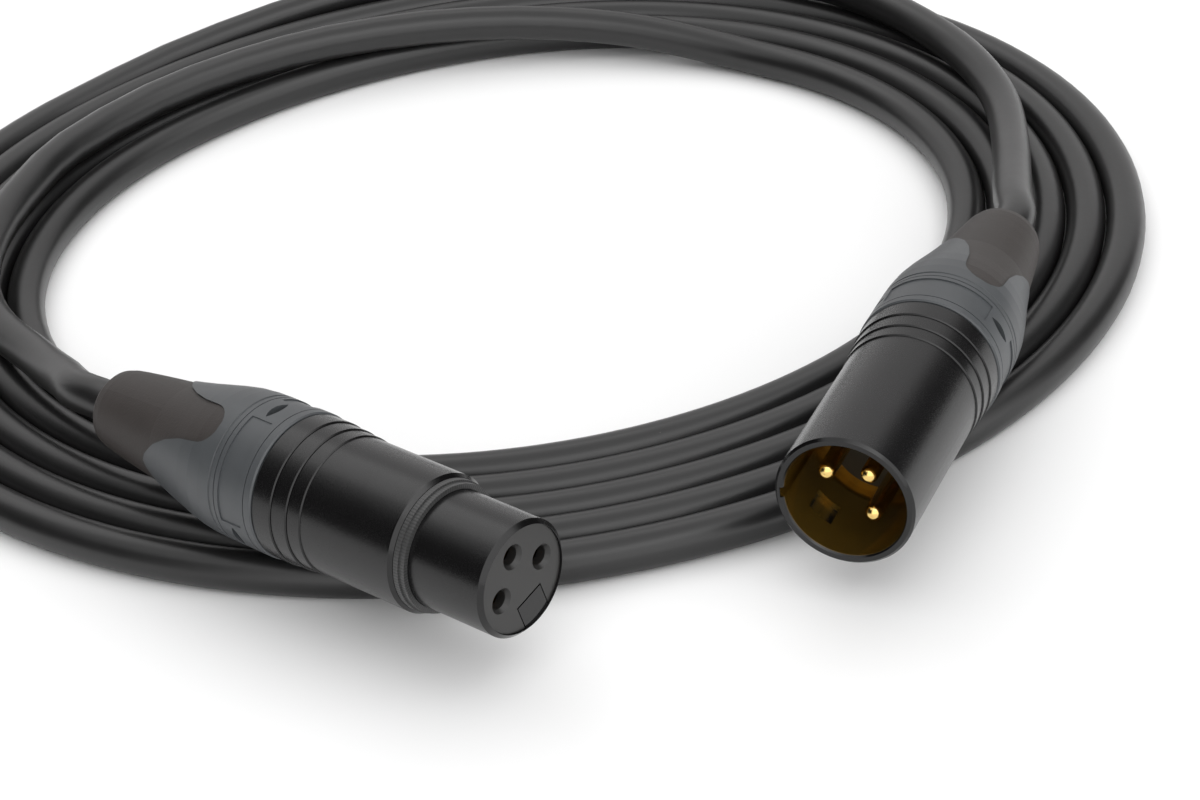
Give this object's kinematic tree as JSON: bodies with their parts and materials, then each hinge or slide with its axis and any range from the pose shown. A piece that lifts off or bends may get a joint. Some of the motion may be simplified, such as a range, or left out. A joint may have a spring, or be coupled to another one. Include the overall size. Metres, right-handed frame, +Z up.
{
  "type": "coiled microphone cable",
  "caption": "Coiled round microphone cable with a male and a female three-pin locking connector lying on the coil.",
  "frame": {"origin": "middle of the whole object's footprint, on the surface that the coil lies on", "axes": "+Z up; +Y along the male connector's axis, from its open front towards its cable; +X to the right of someone looking into the male connector"},
  "size_m": [0.1992, 0.2114, 0.0267],
  "materials": {
    "jacket": "satin black flexible jacket",
    "shell_black": "fine-textured black coating on die-cast metal",
    "insert_black": "moulded black plastic",
    "contact_gold": "gold plated, polished",
    "spring_steel": "bright spring steel",
    "chuck_white": "natural white plastic",
    "nut_grey": "satin blue-grey plastic",
    "boot_rubber": "grained matte black rubber",
    "collar_grey": "smoky grey plastic",
    "shield_copper": "bare twisted copper",
    "wire_blue": "blue core insulation",
    "wire_white": "white core insulation"
  },
  "bodies": {
    "cable": {"cable_coil": "jacket", "cable_lead_male": "jacket", "cable_lead_female": "jacket", "male_shell": "shell_black", "male_insert": "insert_black", "male_pin_1": "contact_gold", "male_pin_2": "contact_gold", "male_pin_3": "contact_gold", "male_earth_spring": "spring_steel", "male_jacket_end": "jacket", "male_shield_tail": "shield_copper", "male_wire_pair_2": "wire_blue", "male_wire_pair_3": "wire_white", "female_shell": "shell_black", "female_collar_ring": "collar_grey", "female_insert": "insert_black", "female_socket_1": "contact_gold", "female_socket_2": "contact_gold", "female_socket_3": "contact_gold", "female_latch_spring": "spring_steel", "female_earth_spring": "spring_steel", "female_jacket_end": "jacket", "female_shield_tail": "shield_copper", "female_wire_pair_2": "wire_blue", "female_wire_pair_3": "wire_white"},
    "male_clamp": {"male_chuck": "chuck_white"},
    "male_back_nut": {"male_bushing": "nut_grey", "male_boot": "boot_rubber"},
    "female_clamp": {"female_chuck": "chuck_white"},
    "female_back_nut": {"female_bushing": "nut_grey", "female_boot": "boot_rubber"},
    "latch": {"female_latch": "shell_black"}
  },
  "joints": [
    {"name": "male_clamp_slide", "type": "slide", "parent": "cable", "child": "male_clamp", "axis": [0, 1, 0], "range_m": [0, 0.004]},
    {"name": "male_nut_turn", "type": "hinge", "parent": "male_clamp", "child": "male_back_nut", "pos_m": [0.085, -0.03079, 0.0164], "axis": [0, 1, 0], "range_deg": [0, 720.01]},
    {"name": "female_clamp_slide", "type": "slide", "parent": "cable", "child": "female_clamp", "axis": [-0.9516, 0.3074, 0], "range_m": [0, 0.004]},
    {"name": "female_nut_turn", "type": "hinge", "parent": "female_clamp", "child": "female_back_nut", "pos_m": [0.00918, -0.08436, 0.0164], "axis": [-0.9516, 0.3074, 0], "range_deg": [0, 720.01]},
    {"name": "latch_press", "type": "hinge", "parent": "cable", "child": "latch", "pos_m": [0.02683, -0.08827, 0.01044], "axis": [-0.2955, -0.9147, -0.2756], "range_deg": [0, 4], "stiffness_Nm_per_rad": 0.3, "springref_deg": -2.86, "deforming": ["female_latch_spring"]}
  ],
  "couplings": [
    {"joint": "male_nut_turn", "follows": "male_clamp_slide", "rad_per_m": 3141.6},
    {"joint": "female_nut_turn", "follows": "female_clamp_slide", "rad_per_m": 3141.6}
  ]
}
